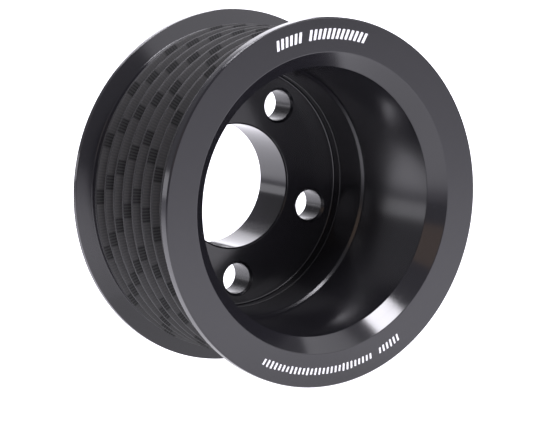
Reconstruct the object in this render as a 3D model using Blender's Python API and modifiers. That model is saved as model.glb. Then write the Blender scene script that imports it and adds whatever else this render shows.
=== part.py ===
"""Eight-groove belt pulley with a dished, five-bolt web, turned from one billet.

Metres, +Z up. The axis is horizontal, along Y, and the open dished face looks along -Y.
The origin is the middle of the bounding box, on the axis.
Sizes below are in millimetres. Depths are measured back from the front face.
"""

import math

import bmesh
import bpy

MM = 0.001

# Belt track, set by the standard 3.56 mm pitch of automotive ribbed belts
BELT_PITCH = 3.56
GROOVE_COUNT = 8
CREST_RADIUS = 33.55
CREST_FLAT = 0.62
GROOVE_DEPTH = 2.95
GROOVE_FLOOR = 0.7
FIRST_CREST_DEPTH = 3.37
RELIEF_FLOOR_RADIUS = 32.4
SHOULDER_RADIUS = 33.1
SHOULDER_START = 33.05

# Flanges on each side of the track
FLANGE_RADIUS = 36.3
FLANGE_CHAMFER = 0.3
FRONT_FLANGE_LAND = 2.0
REAR_LAND_START = 35.0
REAR_FACE_DEPTH = 36.3
FRONT_WALL_SLOPE = 0.5
REAR_WALL_SLOPE = 0.95

# Dish in the front
FACE_INNER_RADIUS = 29.6
MOUTH_RADIUS = 26.6
MOUTH_DEPTH = 2.9
STEP_DEPTH = 24.0
STEP_DRAFT = 0.65
STEP_HEIGHT = 0.6
FLOOR_RADIUS = 25.0
FLOOR_FILLET = 0.8
WEB_DEPTH = 33.3

# Hub: bore, rear boss with its spigot ring, and bolt circle
BORE_RADIUS = 12.8
BORE_CHAMFER = 0.3
BOSS_RADIUS = 25.0
BOSS_CHAMFER = 0.8
BOSS_FILLET = 1.2
BOSS_DEPTH = 39.9
SPIGOT_RADIUS = 15.3
SPIGOT_CHAMFER = 0.4
TOTAL_DEPTH = 43.65
BOLT_CIRCLE_RADIUS = 19.4
BOLT_HOLE_RADIUS = 3.2
BOLT_COUNT = 5
FIRST_BOLT_ANGLE = 56.0

# White filled bands on the front face
MARK_RADII = (32.0, 34.2)
MARK_SPANS = {"upper_mark": (74.0, 110.0), "lower_mark": (-117.0, -58.0)}
MARK_THICKNESS = 0.3
MARK_GAP = 0.3

TURN_STEPS = 60
HOLE_SIDES = 24
FILLET_STEPS = 4
MARK_STEP_DEGREES = 6.0
SHARP_DEGREES = 20.0
CUT_MARGIN = 1.0

BLACK = (0.012, 0.012, 0.014)
WHITE = (0.85, 0.85, 0.86)


def clear_scene():
    for item in list(bpy.data.objects):
        bpy.data.objects.remove(item, do_unlink=True)


def make_collection(name):
    collection = bpy.data.collections.new(name)
    bpy.context.scene.collection.children.link(collection)
    return collection


def make_material(name, colour, roughness, metallic):
    material = bpy.data.materials.new(name)
    material.use_nodes = True
    shader = material.node_tree.nodes["Principled BSDF"]
    shader.inputs["Base Color"].default_value = (*colour, 1.0)
    shader.inputs["Roughness"].default_value = roughness
    shader.inputs["Metallic"].default_value = metallic
    return material


def height(depth):
    """Local Z, in metres, of a depth behind the front face; the body is centred on zero."""
    return (TOTAL_DEPTH / 2 - depth) * MM


def polar(radius, degrees):
    angle = math.radians(degrees)
    return radius * math.cos(angle), radius * math.sin(angle)


def fillet(radius, depth, size, start, end):
    """Points on an arc in the radius-depth plane, its angle measured from outward to rearward."""
    points = []
    for step in range(FILLET_STEPS + 1):
        across, back = polar(size, start + (end - start) * step / FILLET_STEPS)
        points.append((radius + across, depth + back))
    return points


def track_profile():
    """Crests and grooves from front to rear."""
    half_crest = CREST_FLAT / 2
    half_floor = GROOVE_FLOOR / 2
    points = []
    for index in range(GROOVE_COUNT + 1):
        crest = FIRST_CREST_DEPTH + index * BELT_PITCH
        if index > 0:
            points.append((CREST_RADIUS, crest - half_crest))
        points.append((CREST_RADIUS, crest + half_crest))
        if index < GROOVE_COUNT:
            middle = crest + BELT_PITCH / 2
            points.append((CREST_RADIUS - GROOVE_DEPTH, middle - half_floor))
            points.append((CREST_RADIUS - GROOVE_DEPTH, middle + half_floor))
    return points


def body_profile():
    """The closed section as (radius, depth), down the outside and back up through the bore."""
    chamfer = FLANGE_CHAMFER
    outside = [
        (FLANGE_RADIUS - chamfer, 0.0),
        (FLANGE_RADIUS, chamfer),
        (FLANGE_RADIUS, FRONT_FLANGE_LAND),
        (CREST_RADIUS, FRONT_FLANGE_LAND + FRONT_WALL_SLOPE),
        *track_profile(),
        (RELIEF_FLOOR_RADIUS, SHOULDER_START - 0.45),
        (RELIEF_FLOOR_RADIUS, SHOULDER_START - 0.25),
        (SHOULDER_RADIUS, SHOULDER_START),
        (SHOULDER_RADIUS, REAR_LAND_START - REAR_WALL_SLOPE),
        (FLANGE_RADIUS, REAR_LAND_START),
        (FLANGE_RADIUS, REAR_FACE_DEPTH - chamfer),
        (FLANGE_RADIUS - chamfer, REAR_FACE_DEPTH),
    ]
    boss_corner = REAR_FACE_DEPTH + BOSS_FILLET
    back = [
        *fillet(BOSS_RADIUS + BOSS_FILLET, boss_corner, BOSS_FILLET, -90, -180),
        (BOSS_RADIUS, BOSS_DEPTH - BOSS_CHAMFER),
        (BOSS_RADIUS - BOSS_CHAMFER, BOSS_DEPTH),
        (SPIGOT_RADIUS, BOSS_DEPTH),
        (SPIGOT_RADIUS, TOTAL_DEPTH - SPIGOT_CHAMFER),
        (SPIGOT_RADIUS - SPIGOT_CHAMFER, TOTAL_DEPTH),
        (BORE_RADIUS + BORE_CHAMFER, TOTAL_DEPTH),
        (BORE_RADIUS, TOTAL_DEPTH - BORE_CHAMFER),
        (BORE_RADIUS, WEB_DEPTH + BORE_CHAMFER),
        (BORE_RADIUS + BORE_CHAMFER, WEB_DEPTH),
    ]
    step_radius = MOUTH_RADIUS - STEP_DRAFT
    dish = [
        *fillet(FLOOR_RADIUS - FLOOR_FILLET, WEB_DEPTH - FLOOR_FILLET, FLOOR_FILLET, 90, 0),
        (step_radius - STEP_HEIGHT, STEP_DEPTH + STEP_HEIGHT),
        (step_radius, STEP_DEPTH),
        (MOUTH_RADIUS, MOUTH_DEPTH),
        (FACE_INNER_RADIUS, 0.0),
    ]
    return outside + back + dish


def turn(name, profile, collection):
    """A closed section turned about the local Z axis, then laid so that Z points along -Y."""
    mesh = bpy.data.meshes.new(name)
    points = [(radius * MM, 0.0, height(depth)) for radius, depth in profile]
    count = len(points)
    edges = [(index, (index + 1) % count) for index in range(count)]
    mesh.from_pydata(points, edges, [])
    turned = bpy.data.objects.new(name, mesh)
    collection.objects.link(turned)
    turned.rotation_euler = (math.radians(90), 0.0, 0.0)
    screw = turned.modifiers.new("turn", "SCREW")
    screw.steps = TURN_STEPS
    screw.render_steps = TURN_STEPS
    screw.use_merge_vertices = True
    screw.merge_threshold = 0.00001
    return turned


def make_cutter(item, collection):
    for current in list(item.users_collection):
        current.objects.unlink(item)
    collection.objects.link(item)
    item.hide_render = True
    item.display_type = "WIRE"


def cut(body, cutter):
    boolean = body.modifiers.new("cut_" + cutter.name, "BOOLEAN")
    boolean.operation = "DIFFERENCE"
    boolean.object = cutter
    boolean.solver = "EXACT"


def sector_outline(inner, outer, start, end):
    """Corner points of a ring sector, along the outer arc and back along the inner one."""
    steps = math.ceil((end - start) / MARK_STEP_DEGREES)
    angles = [start + (end - start) * step / steps for step in range(steps + 1)]
    outline = [polar(outer, angle) for angle in angles]
    outline += [polar(inner, angle) for angle in reversed(angles)]
    return outline


def flat_solid(name, outline, front_depth, back_depth, collection):
    """A flat outline thickened between two depths, as a closed mesh facing -Y."""
    curve = bpy.data.curves.new(name, "CURVE")
    curve.dimensions = "2D"
    curve.fill_mode = "BOTH"
    curve.extrude = (back_depth - front_depth) / 2 * MM
    spline = curve.splines.new("POLY")
    spline.points.add(len(outline) - 1)
    for point, (across, up) in zip(spline.points, outline):
        point.co = (across * MM, up * MM, 0.0, 1.0)
    spline.use_cyclic_u = True
    guide = bpy.data.objects.new(name + "_outline", curve)
    collection.objects.link(guide)
    guide.rotation_euler = (math.radians(90), 0.0, 0.0)
    guide.location = (0.0, -height((front_depth + back_depth) / 2), 0.0)
    bpy.context.view_layer.update()
    evaluated = guide.evaluated_get(bpy.context.evaluated_depsgraph_get())
    mesh = bpy.data.meshes.new_from_object(evaluated)
    solid = bpy.data.objects.new(name, mesh)
    collection.objects.link(solid)
    solid.matrix_world = guide.matrix_world.copy()
    bpy.data.objects.remove(guide, do_unlink=True)
    weld(mesh)
    return solid


def weld(mesh):
    work = bmesh.new()
    work.from_mesh(mesh)
    bmesh.ops.remove_doubles(work, verts=work.verts, dist=0.00001)
    bmesh.ops.recalc_face_normals(work, faces=work.faces)
    work.to_mesh(mesh)
    work.free()


def drill_bolt_holes(body, cutters):
    pitch = 360 / BOLT_COUNT
    length = BOSS_DEPTH - WEB_DEPTH + 2 * CUT_MARGIN
    middle = (BOSS_DEPTH + WEB_DEPTH) / 2
    for index in range(BOLT_COUNT):
        across, up = polar(BOLT_CIRCLE_RADIUS, FIRST_BOLT_ANGLE + index * pitch)
        bpy.ops.mesh.primitive_cylinder_add(
            vertices=HOLE_SIDES,
            radius=BOLT_HOLE_RADIUS * MM,
            depth=length * MM,
            location=(across * MM, -height(middle), up * MM),
            rotation=(math.radians(90), 0.0, 0.0),
        )
        drill = bpy.context.object
        drill.name = f"bolt_hole_{index + 1}"
        make_cutter(drill, cutters)
        cut(body, drill)


def add_marks(body, parts, cutters, material):
    """Shallow pockets in the face, each with its white filling set just inside."""
    inner, outer = MARK_RADII
    slack = math.degrees(MARK_GAP / inner)
    floor = MARK_THICKNESS + MARK_GAP
    for name, (start, end) in MARK_SPANS.items():
        pocket_outline = sector_outline(
            inner - MARK_GAP, outer + MARK_GAP, start - slack, end + slack
        )
        pocket = flat_solid(name + "_pocket", pocket_outline, -CUT_MARGIN, floor, cutters)
        make_cutter(pocket, cutters)
        cut(body, pocket)
        filling = flat_solid(
            name, sector_outline(inner, outer, start, end), 0.0, MARK_THICKNESS, parts
        )
        filling.data.materials.append(material)


def finish_mesh(item):
    """Replaces the live modifiers by their result, then shades the round faces smooth."""
    bpy.context.view_layer.update()
    evaluated = item.evaluated_get(bpy.context.evaluated_depsgraph_get())
    result = bpy.data.meshes.new_from_object(evaluated)
    item.modifiers.clear()
    item.data = result
    result.shade_smooth()
    result.set_sharp_from_angle(angle=math.radians(SHARP_DEGREES))


def main():
    clear_scene()
    parts = make_collection("belt_pulley")
    cutters = make_collection("cutters")
    anodised = make_material("black_anodised_aluminium", BLACK, 0.38, 0.6)
    enamel = make_material("white_filling", WHITE, 0.5, 0.0)
    body = turn("pulley_body", body_profile(), parts)
    body.data.materials.append(anodised)
    drill_bolt_holes(body, cutters)
    add_marks(body, parts, cutters, enamel)
    finish_mesh(body)


main()
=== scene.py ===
import math

import bmesh
import bpy
from mathutils import Matrix, Vector


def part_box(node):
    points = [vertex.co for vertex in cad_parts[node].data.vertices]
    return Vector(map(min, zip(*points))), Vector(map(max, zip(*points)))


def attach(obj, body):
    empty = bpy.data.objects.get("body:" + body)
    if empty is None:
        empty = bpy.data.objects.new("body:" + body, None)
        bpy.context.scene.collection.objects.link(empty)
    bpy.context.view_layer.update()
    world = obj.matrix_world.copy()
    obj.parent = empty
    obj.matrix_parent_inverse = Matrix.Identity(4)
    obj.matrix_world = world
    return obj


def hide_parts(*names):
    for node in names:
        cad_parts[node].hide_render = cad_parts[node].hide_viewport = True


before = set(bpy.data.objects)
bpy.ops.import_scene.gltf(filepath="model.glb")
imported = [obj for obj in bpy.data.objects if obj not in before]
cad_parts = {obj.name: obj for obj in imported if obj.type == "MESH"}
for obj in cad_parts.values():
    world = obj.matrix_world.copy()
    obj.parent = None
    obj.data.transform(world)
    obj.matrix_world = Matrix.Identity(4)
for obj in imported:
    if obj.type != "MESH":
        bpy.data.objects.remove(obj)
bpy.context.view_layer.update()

mm = 0.001
degree = math.radians(1)
weld = {"turned": 0.0005 * mm, "mark": 0.001 * mm, "closing": 0.002 * mm}    # merge distances
bodyLow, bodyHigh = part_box("pulley_body")
flangeRadius = bodyHigh.z
frontY = bodyLow.y
backY = bodyHigh.y


# a node's output that takes Python's own operators
class Wire:
    def __init__(self, board, socket):
        self.board = board
        self.socket = socket

    def __add__(self, other):
        return self.board.maths("ADD", self, other)

    def __sub__(self, other):
        return self.board.maths("SUBTRACT", self, other)

    def __rsub__(self, other):
        return self.board.maths("SUBTRACT", other, self)

    def __mul__(self, other):
        return self.board.maths("MULTIPLY", self, other)

    def __truediv__(self, other):
        return self.board.maths("DIVIDE", self, other)

    def __gt__(self, other):
        return self.board.maths("GREATER_THAN", self, other)

    def __lt__(self, other):
        return self.board.maths("LESS_THAN", self, other)

    __radd__ = __add__
    __rmul__ = __mul__

    def out(self, name):
        return Wire(self.board, self.socket.node.outputs[name])


class Board:
    def __init__(self, tree):
        self.tree = tree

    def node(self, kind, settings=None, sockets=None, out=0):
        made = self.tree.nodes.new(kind)
        for name, value in (settings or {}).items():
            setattr(made, name, value)
        for key, value in (sockets or {}).items():
            if isinstance(value, Wire):
                self.tree.links.new(value.socket, made.inputs[key])
            else:
                made.inputs[key].default_value = value
        return Wire(self, made.outputs[out]) if made.outputs else None

    def maths(self, operation, *terms):
        return self.node("ShaderNodeMath", {"operation": operation}, dict(enumerate(terms)))

    def vector(self, x=0.0, y=0.0, z=0.0):
        return self.node("ShaderNodeCombineXYZ", None, {"X": x, "Y": y, "Z": z})

    def mix(self, factor, first, second):
        tones = [tone if isinstance(tone, Wire) else (*tone, 1.0) for tone in (first, second)]
        sockets = {0: factor, 6: tones[0], 7: tones[1]}    # a Mix node's colours are 6 and 7
        return self.node("ShaderNodeMix", {"data_type": "RGBA"}, sockets, 2)

    def noise(self, place, scale, detail, roughness=0.5):
        sockets = {"Vector": place, "Scale": scale, "Detail": detail, "Roughness": roughness}
        return self.node("ShaderNodeTexNoise", None, sockets)


def startGeometryTree(name, inputs):
    tree = bpy.data.node_groups.new(name, "GeometryNodeTree")
    tree.interface.new_socket("Geometry", in_out="INPUT", socket_type="NodeSocketGeometry")
    for label, kind in inputs.items():
        tree.interface.new_socket(label, in_out="INPUT", socket_type="NodeSocket" + kind)
    tree.interface.new_socket("Geometry", in_out="OUTPUT", socket_type="NodeSocketGeometry")
    board = Board(tree)
    return board, board.node("NodeGroupInput")


def endGeometryTree(board, geometry, finish):
    real = board.node("GeometryNodeRealizeInstances", None, {"Geometry": geometry})
    dressed = board.node("GeometryNodeSetMaterial", None, {"Geometry": real, "Material": finish})
    board.node("NodeGroupOutput", None, {"Geometry": dressed})
    return board.tree


def growMesh(name, tree, values, start):
    holder = bpy.data.objects.new(name, start)
    bpy.context.scene.collection.objects.link(holder)
    modifier = holder.modifiers.new("grow", "NODES")
    modifier.node_group = tree
    for item in tree.interface.items_tree:
        if item.in_out == "INPUT" and item.name in values:
            modifier[item.identifier] = values[item.name]
    return bakeModifiers(holder)


def bakeModifiers(holder):
    bpy.context.view_layer.update()
    evaluated = holder.evaluated_get(bpy.context.evaluated_depsgraph_get())
    mesh = bpy.data.meshes.new_from_object(evaluated)
    holder.modifiers.clear()
    holder.data = mesh
    mesh.name = holder.name
    return holder


def closeAndOrient(mesh):
    work = bmesh.new()
    work.from_mesh(mesh)
    bmesh.ops.remove_doubles(work, verts=work.verts, dist=weld["closing"])
    bmesh.ops.recalc_face_normals(work, faces=work.faces)
    work.to_mesh(mesh)
    work.free()


def pointMesh(name, points):
    mesh = bpy.data.meshes.new(name)
    mesh.from_pydata(points, [], [])
    return mesh


# black anodise of the whole billet, duller on the belt track
anodise = {
    "colour": (0.0108, 0.0104, 0.0130),
    "worn": (0.0195, 0.019, 0.0215),
    "flank": (0.031, 0.0302, 0.0296),
    # ribTop is painted shade: the rib tops are coloured darker than the anodise to dim the light
    # they catch
    "ribTop": (0.004, 0.004, 0.0045),
    "ribTopDepth": 0.12 * mm,
    "hatchWear": 0.55,           # shares of the worn tone
    "grainWear": 0.25,
    "cloudWear": 0.2,
    "mostWear": 0.6,
    "hatchCover": 0.75,          # how far a hatch line hides the flank tone
    "cloudCover": (0.75, 0.5),   # the least cover, and what the cloud adds
    "roughness": 0.13,
    "bowlRoughness": 0.20,
    "holeRoughness": 0.27,
    "ribTopRoughness": 0.70,
    "trackRoughness": 0.56,
    "turnedSpread": 0.06,        # of roughness
    "cloudSpread": 0.05,
    "ior": 1.51,
    "turnedLines": 5200.0,       # per metre of radius or depth
    "turnedAround": 0.6,         # per radian round the axis
    "turnedDetail": 3.0,
    "turnedBreak": 0.65,
    "turnedHeight": 0.00016 * mm,
    "hatchLines": 350.0,         # round the track
    "hatchSlant": 260.0,
    "hatchHeight": 0.018 * mm,
    "grainScale": 1500.0,
    "grainDetail": 2.0,
    "grainHeight": 0.0003 * mm,
    "cloudScale": 55.0,
    "cloudDetail": 3.0,
}


def makeMaterial(name):
    material = bpy.data.materials.new(name)
    material.use_nodes = True
    board = Board(material.node_tree)
    return material, board, material.node_tree.nodes["Principled BSDF"]


def plug(board, wire, shader, name):
    board.tree.links.new(wire.socket, shader.inputs[name])


def plugRelief(board, height, shader, strength=1.0):
    sockets = {"Height": height, "Strength": strength, "Distance": 1.0}
    plug(board, board.node("ShaderNodeBump", None, sockets), shader, "Normal")


def aroundAxis(board):
    place = board.node("ShaderNodeTexCoord", None, None, "Object")
    parts = board.node("ShaderNodeSeparateXYZ", None, {"Vector": place})
    x, y, z = parts, parts.out("Y"), parts.out("Z")
    radius = board.maths("SQRT", x * x + z * z)
    angle = board.maths("ARCTAN2", z, x)
    return place, radius, angle, y


def blackAnodise(zones):
    a = anodise
    material, board, shader = makeMaterial("blackAnodise")
    place, radius, angle, depth = aroundAxis(board)
    inTrack = (depth > zones["trackStart"]) * (depth < zones["trackEnd"])
    inTrack = inTrack * (radius > zones["grooveFloor"]) * (radius < zones["crest"])
    inBowl = (depth > zones["mouth"]) * (depth < zones["web"]) * (radius < zones["bowl"])
    inHole = (depth > zones["holes"]) * (radius > zones["bore"]) * (radius < zones["bowl"])
    lathe = board.vector(
        radius * a["turnedLines"], depth * a["turnedLines"], angle * a["turnedAround"]
    )
    turned = board.noise(lathe, 1.0, a["turnedDetail"], a["turnedBreak"])
    grain = board.noise(place, a["grainScale"], a["grainDetail"])
    cloud = board.noise(place, a["cloudScale"], a["cloudDetail"])
    wave = board.maths("SINE", angle * a["hatchLines"] + depth * a["hatchSlant"])
    hatch = wave * 0.5 + 0.5
    wear = hatch * a["hatchWear"] * inTrack + grain * a["grainWear"] + cloud * a["cloudWear"]
    worn = board.mix(wear * a["mostWear"], a["colour"], a["worn"])
    # flank tone on the track, with painted shade on the rib tops: a darker tone that dims the
    # highlight along the crests
    ribTop = (radius > zones["crest"] - a["ribTopDepth"]) * 1.0
    trackToneAndShadedTops = board.mix(ribTop, a["flank"], a["ribTop"])
    least, rise = a["cloudCover"]
    cover = inTrack * (1 - hatch * a["hatchCover"]) * (least + cloud * rise)
    plug(board, board.mix(cover, worn, trackToneAndShadedTops), shader, "Base Color")
    rough = (
        a["roughness"]
        + inTrack * (a["trackRoughness"] - a["roughness"])
        + inTrack * ribTop * (a["ribTopRoughness"] - a["trackRoughness"])
        + inBowl * (a["bowlRoughness"] - a["roughness"])
        + inHole * (a["holeRoughness"] - a["roughness"])
        + (turned - 0.5) * a["turnedSpread"]
        + (cloud - 0.5) * a["cloudSpread"]
    )
    plug(board, rough, shader, "Roughness")
    relief = (
        turned * a["turnedHeight"]
        + hatch * inTrack * a["hatchHeight"]
        + grain * a["grainHeight"]
    )
    plugRelief(board, relief, shader)
    shader.inputs["IOR"].default_value = a["ior"]
    return material


# pitted skin of the etched strokes
etched = {
    "tones": {"gripPatches": 0.0150, "gripStrokes": 0.0075},
    "gloss": {"gripPatches": 0.42, "gripStrokes": 0.26},
    "low": (0.6, 0.6, 0.6),      # shares of the tone
    "high": (1.6, 1.6, 1.7),
    "pitScale": 9000.0,
    "pitDetail": 2.0,
    "pitHeight": 0.01 * mm,
    "roughness": 0.45,
    "roughnessSpread": 0.2,
}


def etchedAnodise(name):
    e = etched
    material, board, shader = makeMaterial(name + "Finish")
    place = board.node("ShaderNodeTexCoord", None, None, "Object")
    pits = board.noise(place, e["pitScale"], e["pitDetail"])
    low, high = ([share * e["tones"][name] for share in e[end]] for end in ("low", "high"))
    plug(board, board.mix(pits, low, high), shader, "Base Color")
    plug(board, pits * e["roughnessSpread"] + e["roughness"], shader, "Roughness")
    plugRelief(board, pits * e["pitHeight"], shader)
    shader.inputs["Specular IOR Level"].default_value = e["gloss"][name]
    return material


# white filling of the face marks
white = {
    "low": (0.70, 0.70, 0.73),
    "high": (0.86, 0.86, 0.88),
    "fleckScale": 4500.0,
    "fleckDetail": 3.0,
    "fleckHeight": 0.004 * mm,
    "fleckStrength": 0.6,
    "roughness": 0.4,
    "roughnessSpread": 0.2,
}


def whiteFilling():
    w = white
    material, board, shader = makeMaterial("whiteFilling")
    place = board.node("ShaderNodeTexCoord", None, None, "Object")
    fleck = board.noise(place, w["fleckScale"], w["fleckDetail"])
    plug(board, board.mix(fleck, w["low"], w["high"]), shader, "Base Color")
    plug(board, fleck * w["roughnessSpread"] + w["roughness"], shader, "Roughness")
    plugRelief(board, fleck * w["fleckHeight"], shader, w["fleckStrength"])
    return material


# the billet: radii, depths behind the front face and edges in mm
billet = {
    "landWidth": 2.0,
    "rearLandStart": 35.0,
    "rearFace": 36.3,
    "frontWallSlope": 0.5,
    "rearWallSlope": 0.95,
    "crestRadius": 33.55,
    "crestFlat": 0.62,
    "grooveDepth": 2.95,
    "grooveFloor": 0.7,
    "pitch": 3.56,
    "grooves": 8,
    "firstCrest": 3.37,
    "reliefFloor": 32.4,
    "reliefReach": (0.45, 0.25),     # before the shoulder
    "shoulder": 33.1,
    "shoulderStart": 33.05,
    "faceInner": 29.6,
    "mouth": 26.6,
    "mouthDepth": 2.9,
    "stepDepth": 24.0,
    "stepDraft": 0.4,
    "stepHeight": 0.6,
    "floorRadius": 25.0,
    "ledge": 0.16,
    "ledgeDepth": 31.2,
    "web": 33.3,
    "bore": 12.8,
    "boreEdge": 0.3,
    "boss": 25.0,
    "bossEdge": 0.8,
    "bossFace": 39.9,
    "spigot": 15.3,
    "spigotEdge": 0.4,
    "boltCircle": 19.4,
    "boltHole": 3.2,
    "boltEdge": 0.5,
    "bolts": 5,
    "firstBolt": 56.0,               # degrees
    "drillReach": 1.0,
    "drillTurns": 48,
    "turns": 180,
    "sharpAngle": 32,
    "evenWeight": 90,
    "roundingShare": 0.97,           # of an edge, for the roundings at its two ends
    "roundings": {                   # radius and steps
        "flangeEdge": (0.35, 5),
        "landEdge": (0.15, 3),
        "frontFoot": (0.12, 3),
        "crest": (0.22, 4),
        "grooveFloor": (0.22, 3),
        "relief": (0.08, 3),
        "shoulder": (0.1, 3),
        "rearFoot": (0.3, 5),
        "bossFoot": (1.2, 8),
        "bossEdge": (0.2, 3),
        "spigotFoot": (0.3, 4),
        "spigotEdge": (0.15, 3),
        "boreEdge": (0.1, 3),
        "webFoot": (0.3, 6),
        "ledge": (0.07, 2),
        "stepFoot": (0.3, 4),
        "stepTop": (0.35, 4),
        "mouth": (0.2, 4),
        "face": (0.25, 4),
    },
}


def arcAtCorner(before, corner, after, size, steps, shares):
    toBefore = (before - corner).normalized()
    toAfter = (after - corner).normalized()
    half = toBefore.angle(toAfter) / 2
    room = [(side - corner).length * share for side, share in zip((before, after), shares)]
    run = min(size / math.tan(half), *room)
    reach = run / math.cos(half)
    centre = corner + (toBefore + toAfter).normalized() * reach
    radius = run * math.tan(half)
    first = corner + toBefore * run - centre
    last = corner + toAfter * run - centre
    turn = first.angle_signed(last)
    points = []
    for step in range(steps + 1):
        arm = first.copy()
        arm.rotate(Matrix.Rotation(-turn * step / steps, 2))
        points.append(centre + arm.normalized() * radius)
    return points


def roundedOutline(corners):
    outline = []
    for index, (across, back, size, steps) in enumerate(corners):
        before = corners[index - 1]
        after = corners[(index + 1) % len(corners)]
        shares = [billet["roundingShare"] * size / (size + side[2]) for side in (before, after)]
        outline += arcAtCorner(
            Vector(before[:2]), Vector((across, back)), Vector(after[:2]), size, steps, shares
        )
    return outline


def trackCorners():
    b = billet
    rounding = b["roundings"]
    halfCrest = b["crestFlat"] / 2
    halfFloor = b["grooveFloor"] / 2
    bottom = b["crestRadius"] - b["grooveDepth"]
    corners = []
    for index in range(b["grooves"] + 1):
        crest = b["firstCrest"] + index * b["pitch"]
        if index > 0:
            corners.append((b["crestRadius"], crest - halfCrest, *rounding["crest"]))
        corners.append((b["crestRadius"], crest + halfCrest, *rounding["crest"]))
        if index < b["grooves"]:
            middle = crest + b["pitch"] / 2
            corners.append((bottom, middle - halfFloor, *rounding["grooveFloor"]))
            corners.append((bottom, middle + halfFloor, *rounding["grooveFloor"]))
    return corners


def billetCorners():
    b = billet
    rounding = b["roundings"]
    total = (backY - frontY) / mm
    rim = flangeRadius / mm
    step = b["mouth"] - b["stepDraft"]
    floorRim = b["floorRadius"] - b["ledge"]
    reliefStart, reliefEnd = (b["shoulderStart"] - reach for reach in b["reliefReach"])
    outside = [
        (rim, 0.0, *rounding["flangeEdge"]),
        (rim, b["landWidth"], *rounding["landEdge"]),
        (b["crestRadius"], b["landWidth"] + b["frontWallSlope"], *rounding["frontFoot"]),
        *trackCorners(),
        (b["reliefFloor"], reliefStart, *rounding["relief"]),
        (b["reliefFloor"], reliefEnd, *rounding["relief"]),
        (b["shoulder"], b["shoulderStart"], *rounding["shoulder"]),
        (b["shoulder"], b["rearLandStart"] - b["rearWallSlope"], *rounding["rearFoot"]),
        (rim, b["rearLandStart"], *rounding["landEdge"]),
        (rim, b["rearFace"], *rounding["flangeEdge"]),
    ]
    back = [
        (b["boss"], b["rearFace"], *rounding["bossFoot"]),
        (b["boss"], b["bossFace"] - b["bossEdge"], *rounding["bossEdge"]),
        (b["boss"] - b["bossEdge"], b["bossFace"], *rounding["bossEdge"]),
        (b["spigot"], b["bossFace"], *rounding["spigotFoot"]),
        (b["spigot"], total - b["spigotEdge"], *rounding["spigotEdge"]),
        (b["spigot"] - b["spigotEdge"], total, *rounding["spigotEdge"]),
        (b["bore"] + b["boreEdge"], total, *rounding["boreEdge"]),
        (b["bore"], total - b["boreEdge"], *rounding["boreEdge"]),
        (b["bore"], b["web"] + b["boreEdge"], *rounding["boreEdge"]),
        (b["bore"] + b["boreEdge"], b["web"], *rounding["boreEdge"]),
    ]
    dish = [
        (floorRim, b["web"], *rounding["webFoot"]),
        (floorRim, b["ledgeDepth"], *rounding["ledge"]),
        (b["floorRadius"], b["ledgeDepth"], *rounding["ledge"]),
        (step - b["stepHeight"], b["stepDepth"] + b["stepHeight"], *rounding["stepFoot"]),
        (step, b["stepDepth"], *rounding["stepTop"]),
        (b["mouth"], b["mouthDepth"], *rounding["mouth"]),
        (b["faceInner"], 0.0, *rounding["face"]),
    ]
    return outside + back + dish


def turningTree():
    board, entry = startGeometryTree(
        "turnedSection", {"Turns": "Int", "Closing": "Int", "Finish": "Material"}
    )
    turns = entry.out("Turns")
    points = board.node(
        "GeometryNodeAttributeDomainSize", {"component": "MESH"}, {"Geometry": entry}
    )
    columns = points + entry.out("Closing")
    rows = turns + 1
    grid = board.node(
        "GeometryNodeMeshGrid",
        None,
        {"Size X": 1.0, "Size Y": 1.0, "Vertices X": columns, "Vertices Y": rows},
    )
    index = board.node("GeometryNodeInputIndex")
    column = board.maths("FLOOR", (index + 0.5) / rows)
    row = index - column * rows
    around = row / turns * math.tau
    position = board.node("GeometryNodeInputPosition")
    section = board.node(
        "GeometryNodeSampleIndex",
        {"data_type": "FLOAT_VECTOR", "domain": "POINT"},
        {
            "Geometry": entry,
            "Value": position,
            "Index": board.maths("FLOORED_MODULO", column, points),
        },
    )
    parts = board.node("ShaderNodeSeparateXYZ", None, {"Vector": section})
    turned = board.vector(
        parts * board.maths("COSINE", around),
        parts.out("Y"),
        parts * board.maths("SINE", around),
    )
    moved = board.node("GeometryNodeSetPosition", None, {"Geometry": grid, "Position": turned})
    joined = board.node(
        "GeometryNodeMergeByDistance", None, {"Geometry": moved, "Distance": weld["turned"]}
    )
    return endGeometryTree(board, joined, entry.out("Finish"))


def turnSection(name, tree, outline, turns, closing, finish):
    points = [(across * mm, frontY + back * mm, 0.0) for across, back in outline]
    values = {"Turns": turns, "Closing": closing, "Finish": finish}
    turned = growMesh(name, tree, values, pointMesh(name + "Section", points))
    closeAndOrient(turned.data)
    return turned


def boltDrills(tree, finish):
    b = billet
    wide = b["boltHole"] + b["boltEdge"]
    reach = b["drillReach"]
    outline = [
        (0.0, b["web"] - reach),
        (wide, b["web"] - reach),
        (wide, b["web"]),
        (b["boltHole"], b["web"] + b["boltEdge"]),
        (b["boltHole"], b["bossFace"] - b["boltEdge"]),
        (wide, b["bossFace"]),
        (wide, b["bossFace"] + reach),
        (0.0, b["bossFace"] + reach),
    ]
    drill = turnSection("boltDrill", tree, outline, b["drillTurns"], 0, finish)
    single = drill.data
    allDrills = bmesh.new()
    for index in range(b["bolts"]):
        angle = math.radians(b["firstBolt"] + index * 360 / b["bolts"])
        shift = Vector((math.cos(angle), 0.0, math.sin(angle))) * b["boltCircle"] * mm
        copy = single.copy()
        copy.transform(Matrix.Translation(shift))
        allDrills.from_mesh(copy)
        bpy.data.meshes.remove(copy)
    allDrills.to_mesh(single)
    allDrills.free()
    return drill


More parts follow.
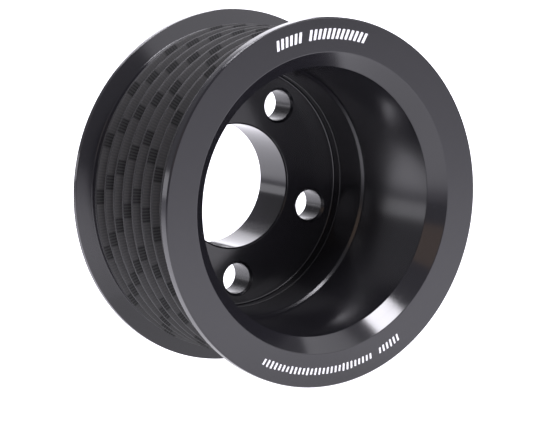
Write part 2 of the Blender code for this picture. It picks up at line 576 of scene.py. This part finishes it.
def makeBillet(finish):
    tree = turningTree()
    outline = roundedOutline(billetCorners())
    piece = turnSection("pulleyBillet", tree, outline, billet["turns"], 1, finish)
    drill = boltDrills(tree, finish)
    cutHoles = piece.modifiers.new("boltHoles", "BOOLEAN")
    cutHoles.operation = "DIFFERENCE"
    cutHoles.object = drill
    cutHoles.solver = "EXACT"
    bakeModifiers(piece)
    bpy.data.objects.remove(drill, do_unlink=True)
    piece.data.shade_smooth()
    piece.data.set_sharp_from_angle(angle=math.radians(billet["sharpAngle"]))
    weigh = piece.modifiers.new("evenFaces", "WEIGHTED_NORMAL")
    weigh.keep_sharp = True
    weigh.weight = billet["evenWeight"]
    bakeModifiers(piece)
    return piece


# etched strokes on the groove flanks, in patches that lie in a chevron
etching = {
    "patches": 18,
    "strokes": 5,
    "strokePitch": 1.04,     # degrees
    "start": 176.5,          # degrees, on the rib where the chevron turns
    "shift": 5.75,           # degrees from one rib to the next
    "turnRib": 4,            # the front rib is 0
    "layers": {              # width, length and relief of one stroke in mm
        "gripPatches": (0.64, 2.45, 0.020),
        "gripStrokes": (0.26, 2.30, 0.045),
    },
}


def etchingTree():
    board, entry = startGeometryTree(
        "etchedStrokes",
        {
            "Grooves": "Int",
            "Patches": "Int",
            "Strokes": "Int",
            "Stroke Pitch": "Float",
            "Stroke Width": "Float",
            "Stroke Length": "Float",
            "Relief": "Float",
            "Start": "Float",
            "Shift": "Float",
            "Turn Rib": "Float",
            "Crest Radius": "Float",
            "Half Crest": "Float",
            "First Crest": "Float",
            "Pitch": "Float",
            "Flank Angle": "Float",
            "Finish": "Material",
        },
    )
    size = entry.out
    perRow = size("Strokes") * size("Patches")
    count = perRow * size("Grooves") * 2
    points = board.node("GeometryNodePoints", None, {"Count": count})
    index = board.node("GeometryNodeInputIndex")
    stroke = board.maths("FLOORED_MODULO", index, size("Strokes"))
    patch = board.maths(
        "FLOORED_MODULO", board.maths("FLOOR", (index + 0.5) / size("Strokes")), size("Patches")
    )
    row = board.maths("FLOOR", (index + 0.5) / perRow)
    side = board.maths("FLOORED_MODULO", row, 2.0)
    groove = board.maths("FLOOR", (row + 0.5) / 2.0)
    sign = 1 - side * 2
    slope = size("Flank Angle")
    along = size("Stroke Length") * 0.5
    radius = size("Crest Radius") - along * board.maths("COSINE", slope)
    crest = size("First Crest") + (groove + 1 - side) * size("Pitch")
    depth = crest - sign * (size("Half Crest") + along * board.maths("SINE", slope))
    placed = board.node(
        "GeometryNodeSetPosition",
        None,
        {"Geometry": points, "Position": board.vector(radius, depth)},
    )
    stick = board.node(
        "GeometryNodeMeshCube",
        None,
        {"Size": board.vector(size("Stroke Length"), size("Relief"), size("Stroke Width"))},
    )
    spread = board.node(
        "GeometryNodeInstanceOnPoints",
        None,
        {"Points": placed, "Instance": stick, "Rotation": board.vector(0.0, 0.0, sign * slope)},
    )
    chevron = board.maths("ABSOLUTE", groove + 1 - side - size("Turn Rib")) * size("Shift")
    middle = (size("Strokes") - 1) * 0.5
    degrees = (
        size("Start") + chevron + patch * 360.0 / size("Patches")
        + (stroke - middle) * size("Stroke Pitch")
    )
    turned = board.node(
        "GeometryNodeRotateInstances",
        None,
        {
            "Instances": spread,
            "Rotation": board.vector(0.0, degrees * -degree),
            "Local Space": False,
        },
    )
    return endGeometryTree(board, turned, size("Finish"))


def makeEtching(name, tree, stroke, finish):
    b = billet
    e = etching
    width, length, relief = stroke
    flank = (b["pitch"] - b["crestFlat"] - b["grooveFloor"]) / 2
    values = {
        "Grooves": b["grooves"],
        "Patches": e["patches"],
        "Strokes": e["strokes"],
        "Stroke Pitch": e["strokePitch"],
        "Stroke Width": width * mm,
        "Stroke Length": length * mm,
        "Relief": relief * 2 * mm,
        "Start": e["start"],
        "Shift": e["shift"],
        "Turn Rib": float(e["turnRib"]),
        "Crest Radius": b["crestRadius"] * mm,
        "Half Crest": b["crestFlat"] / 2 * mm,
        "First Crest": frontY + b["firstCrest"] * mm,
        "Pitch": b["pitch"] * mm,
        "Flank Angle": math.atan2(flank, b["grooveDepth"]),
        "Finish": finish,
    }
    return growMesh(name, tree, values, pointMesh(name + "Start", []))


# rows of white strokes on the front face, in mm and degrees
marks = {
    "upper": {
        "node": "upper_mark",
        "seed": 0,
        "strokes": 19,
        "start": 110.0,
        "pitch": -1.84,
        "gapAfter": 6,
        "gap": 1.3,
        "radius": 33.1,
        "width": 0.62,
        "height": 2.1,
        "slant": 0.55,
        "uneven": 0.06,    # share of the height
    },
    "lower": {
        "node": "lower_mark",
        "seed": 1,
        "strokes": 34,
        "start": -58.5,
        "pitch": -1.66,
        "gapAfter": 6,
        "gap": 1.6,
        "radius": 33.05,
        "width": 0.44,
        "height": 1.55,
        "slant": 0.25,
        "uneven": 0.3,
    },
    "thickness": 0.08,
    "proud": 0.02,
    "corner": 0.12,
    "cornerSteps": 3,
}


def markTree():
    board, entry = startGeometryTree(
        "markStrokes",
        {
            "Strokes": "Int",
            "Start": "Float",
            "Pitch": "Float",
            "Gap After": "Float",
            "Gap": "Float",
            "Radius": "Float",
            "Width": "Float",
            "Height": "Float",
            "Slant": "Float",
            "Uneven": "Float",
            "Thickness": "Float",
            "Corner": "Float",
            "Face": "Float",
            "Seed": "Int",
            "Finish": "Material",
        },
    )
    size = entry.out
    outline = board.node(
        "GeometryNodeCurvePrimitiveQuadrilateral",
        {"mode": "PARALLELOGRAM"},
        {
            "Width": size("Width"),
            "Height": size("Height"),
            "Offset": size("Slant"),
        },
    )
    softened = board.node(
        "GeometryNodeFilletCurve",
        {"mode": "POLY"},
        {
            "Curve": outline,
            "Radius": size("Corner"),
            "Count": marks["cornerSteps"],
            "Limit Radius": True,
        },
    )
    plate = board.node("GeometryNodeFillCurve", {"mode": "NGONS"}, {"Curve": softened})
    raised = board.node(
        "GeometryNodeExtrudeMesh",
        {"mode": "FACES"},
        {"Mesh": plate, "Offset Scale": size("Thickness"), "Individual": False},
    )
    under = board.node("GeometryNodeFlipFaces", None, {"Mesh": plate})
    both = board.node("GeometryNodeJoinGeometry")
    for part in (raised, under):
        board.tree.links.new(part.socket, both.socket.node.inputs[0])
    slab = board.node(
        "GeometryNodeMergeByDistance", None, {"Geometry": both, "Distance": weld["mark"]}
    )
    points = board.node("GeometryNodePoints", None, {"Count": size("Strokes")})
    placed = board.node(
        "GeometryNodeSetPosition",
        None,
        {"Geometry": points, "Position": board.vector(0.0, size("Face"), size("Radius"))},
    )
    index = board.node("GeometryNodeInputIndex")
    chance = board.node(
        "FunctionNodeRandomValue",
        {"data_type": "FLOAT"},
        {"Min": 0.0, "Max": 1.0, "ID": index, "Seed": size("Seed")},
        1,
    )
    tall = 1 - chance * size("Uneven")
    spread = board.node(
        "GeometryNodeInstanceOnPoints",
        None,
        {
            "Points": placed,
            "Instance": slab,
            "Rotation": board.vector(math.pi / 2),
            "Scale": board.vector(1.0, tall, 1.0),
        },
    )
    extra = (index > size("Gap After") - 0.5) * size("Gap")
    degrees = size("Start") + (index + extra) * size("Pitch")
    turned = board.node(
        "GeometryNodeRotateInstances",
        None,
        {
            "Instances": spread,
            "Rotation": board.vector(0.0, (90.0 - degrees) * degree),
            "Local Space": False,
        },
    )
    return endGeometryTree(board, turned, size("Finish"))


def makeMark(name, tree, mark, finish):
    values = {
        "Strokes": mark["strokes"],
        "Start": mark["start"],
        "Pitch": mark["pitch"],
        "Gap After": float(mark["gapAfter"]),
        "Gap": mark["gap"],
        "Radius": mark["radius"] * mm,
        "Width": mark["width"] * mm,
        "Height": mark["height"] * mm,
        "Slant": mark["slant"] * mm,
        "Uneven": mark["uneven"],
        "Thickness": marks["thickness"] * mm,
        "Corner": marks["corner"] * mm,
        "Face": frontY + (marks["thickness"] - marks["proud"]) * mm,
        "Seed": mark["seed"],
        "Finish": finish,
    }
    piece = growMesh(name, tree, values, pointMesh(name + "Start", []))
    closeAndOrient(piece.data)
    return piece


# floor with a painted glow that washes out the pulley's shadow, and soft light
studio = {
    "floorSize": 8.0,
    "floorTone": (0.40, 0.395, 0.42),
    "floorMottle": 0.98,                # share of the tone in the darker spots
    "mottleScale": 6.0,
    "mottleDetail": 2.0,
    "floorRoughness": 0.7,
    "floorSpecular": 0.2,
    # the floor's glow is painted light, strongest beside and behind the pulley so that its
    # shadow washes out
    "floorGlow": (1.35, 0.69, 0.10),    # beside and behind, in front, to the left
    "glowFromLeft": (-0.24, -0.06),     # metres along X
    "glowFromFront": (-0.40, -0.05),    # metres along Y
    "worldTone": (0.30, 0.295, 0.32),
    "lightTone": (0.985, 0.97, 1.04),
    "softboxes": {    # degrees round and up, then distance, width, height and brightness
        "overhead": (170.0, 73.0, 0.95, 0.68, 0.54, 9.5),
        "key": (-8.0, 61.0, 0.80, 0.25, 0.20, 24.0),
        "frontFill": (40.0, 37.0, 1.60, 1.60, 1.50, 1.7),
        "backPanel": (164.0, 22.0, 1.60, 1.10, 0.60, 3.0),
        "backStrip": (-147.0, 3.0, 1.60, 0.70, 0.24, 1.7),
        "warmCard": (-50.0, 21.0, 1.30, 0.50, 0.50, 0.55),
    },
    "tints": {"warmCard": (1.0, 0.60, 0.28)},
}


def makeFloor():
    s = studio
    bpy.ops.mesh.primitive_plane_add(size=s["floorSize"], location=(0.0, 0.0, bodyLow.z))
    floor = bpy.context.object
    floor.name = "floor"
    material, board, shader = makeMaterial("paleFloorPaintedGlow")
    place = board.node("ShaderNodeTexCoord", None, None, "Object")
    mottle = board.noise(place, s["mottleScale"], s["mottleDetail"])
    low = [tone * s["floorMottle"] for tone in s["floorTone"]]
    plug(board, board.mix(mottle, low, s["floorTone"]), shader, "Base Color")
    parts = board.node("ShaderNodeSeparateXYZ", None, {"Vector": place})
    nearness = []
    for side, reach in ((parts, s["glowFromLeft"]), (parts.out("Y"), s["glowFromFront"])):
        nearness.append(board.node(
            "ShaderNodeMapRange",
            {"clamp": True, "interpolation_type": "SMOOTHSTEP"},
            {"Value": side, "From Min": reach[0], "From Max": reach[1]},
        ))
    # painted light: the floor glows, most near the pulley, to wash out the pulley's shadow
    bright, front, left = s["floorGlow"]
    level = nearness[0] * (nearness[1] * (bright - front) + (front - left)) + left
    glow = board.mix(level / bright, (0.0, 0.0, 0.0), s["floorTone"])
    plug(board, glow, shader, "Emission Color")
    shader.inputs["Emission Strength"].default_value = bright / s["floorTone"][0]
    shader.inputs["Roughness"].default_value = s["floorRoughness"]
    shader.inputs["Specular IOR Level"].default_value = s["floorSpecular"]
    floor.data.materials.append(material)


def directionTo(around, lift):
    turn = math.radians(around)
    climb = math.radians(lift)
    return Vector((
        math.sin(turn) * math.cos(climb), -math.cos(turn) * math.cos(climb), math.sin(climb)
    ))


def aimBack(holder, away):
    holder.rotation_euler = (-away).to_track_quat("-Z", "Y").to_euler()


def makeSoftbox(name, around, lift, reach, width, height, brightness):
    light = bpy.data.lights.new(name, "AREA")
    light.shape = "RECTANGLE"
    light.size = width
    light.size_y = height
    light.energy = brightness * math.pi * width * height
    light.color = studio["tints"].get(name, studio["lightTone"])
    lamp = bpy.data.objects.new(name, light)
    bpy.context.scene.collection.objects.link(lamp)
    away = directionTo(around, lift)
    lamp.location = away * reach
    aimBack(lamp, away)


def makeWorld():
    world = bpy.data.worlds.new("studioAir")
    world.use_nodes = True
    background = world.node_tree.nodes["Background"]
    background.inputs["Color"].default_value = (*studio["worldTone"], 1.0)
    background.inputs["Strength"].default_value = 1.0
    bpy.context.scene.world = world


# camera, in degrees round and up and in metres
shot = {
    "turn": -33.31,
    "lift": 7.92,
    "reach": 0.47774,
    "aside": 0.010635,
    "above": 0.002754,
    "lens": 162.4,       # mm
    "sensor": 36.0,
    "clip": (0.01, 30.0),
}


def makeCamera():
    turn = math.radians(shot["turn"])
    back = directionTo(shot["turn"], shot["lift"])
    right = Vector((math.cos(turn), math.sin(turn), 0.0))
    up = back.cross(right)
    centre = Vector((0.0, frontY, 0.0))
    camera = bpy.data.cameras.new("viewCamera")
    camera.lens = shot["lens"]
    camera.sensor_width = shot["sensor"]
    camera.clip_start, camera.clip_end = shot["clip"]
    holder = bpy.data.objects.new("viewCamera", camera)
    bpy.context.scene.collection.objects.link(holder)
    holder.location = centre + back * shot["reach"] - right * shot["aside"] - up * shot["above"]
    aimBack(holder, back)
    bpy.context.scene.camera = holder


# how far each zone of the finish reaches past the edge that it follows, in mm
zoneMargins = {
    "depths": {"trackStart": 0.1, "trackEnd": -0.2, "mouth": 0.1, "web": -0.1, "holes": 0.1},
    "radii": {"grooveFloor": -0.3, "crest": 0.05, "bowl": 0.2, "bore": 0.5},
}


def finishZones():
    b = billet
    edges = {
        "trackStart": b["firstCrest"],
        "trackEnd": b["shoulderStart"],
        "mouth": b["mouthDepth"],
        "web": b["web"],
        "holes": b["web"],
        "grooveFloor": b["crestRadius"] - b["grooveDepth"],
        "crest": b["crestRadius"],
        "bowl": b["mouth"],
        "bore": b["bore"],
    }
    zones = {}
    for name, margin in zoneMargins["depths"].items():
        zones[name] = frontY + (edges[name] + margin) * mm
    for name, margin in zoneMargins["radii"].items():
        zones[name] = (edges[name] + margin) * mm
    return zones


def main():
    makeCamera()
    body = makeBillet(blackAnodise(finishZones()))
    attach(body, "root")
    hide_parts("pulley_body")
    print("billet turned and drilled:", len(body.data.polygons), "faces")

    grip = etchingTree()
    for name, stroke in etching["layers"].items():
        layer = makeEtching(name, grip, stroke, etchedAnodise(name))
        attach(layer, "root")
        print(name, "etched:", len(layer.data.polygons), "faces")

    filling = whiteFilling()
    strokes = markTree()
    for key in ("upper", "lower"):
        mark = makeMark(key + "Mark", strokes, marks[key], filling)
        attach(mark, "root")
        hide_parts(marks[key]["node"])
    print("face marks filled")

    makeFloor()
    makeWorld()
    for name, values in studio["softboxes"].items():
        makeSoftbox(name, *values)
    bpy.context.scene.view_settings.view_transform = "Standard"
    print("studio lit")


main()
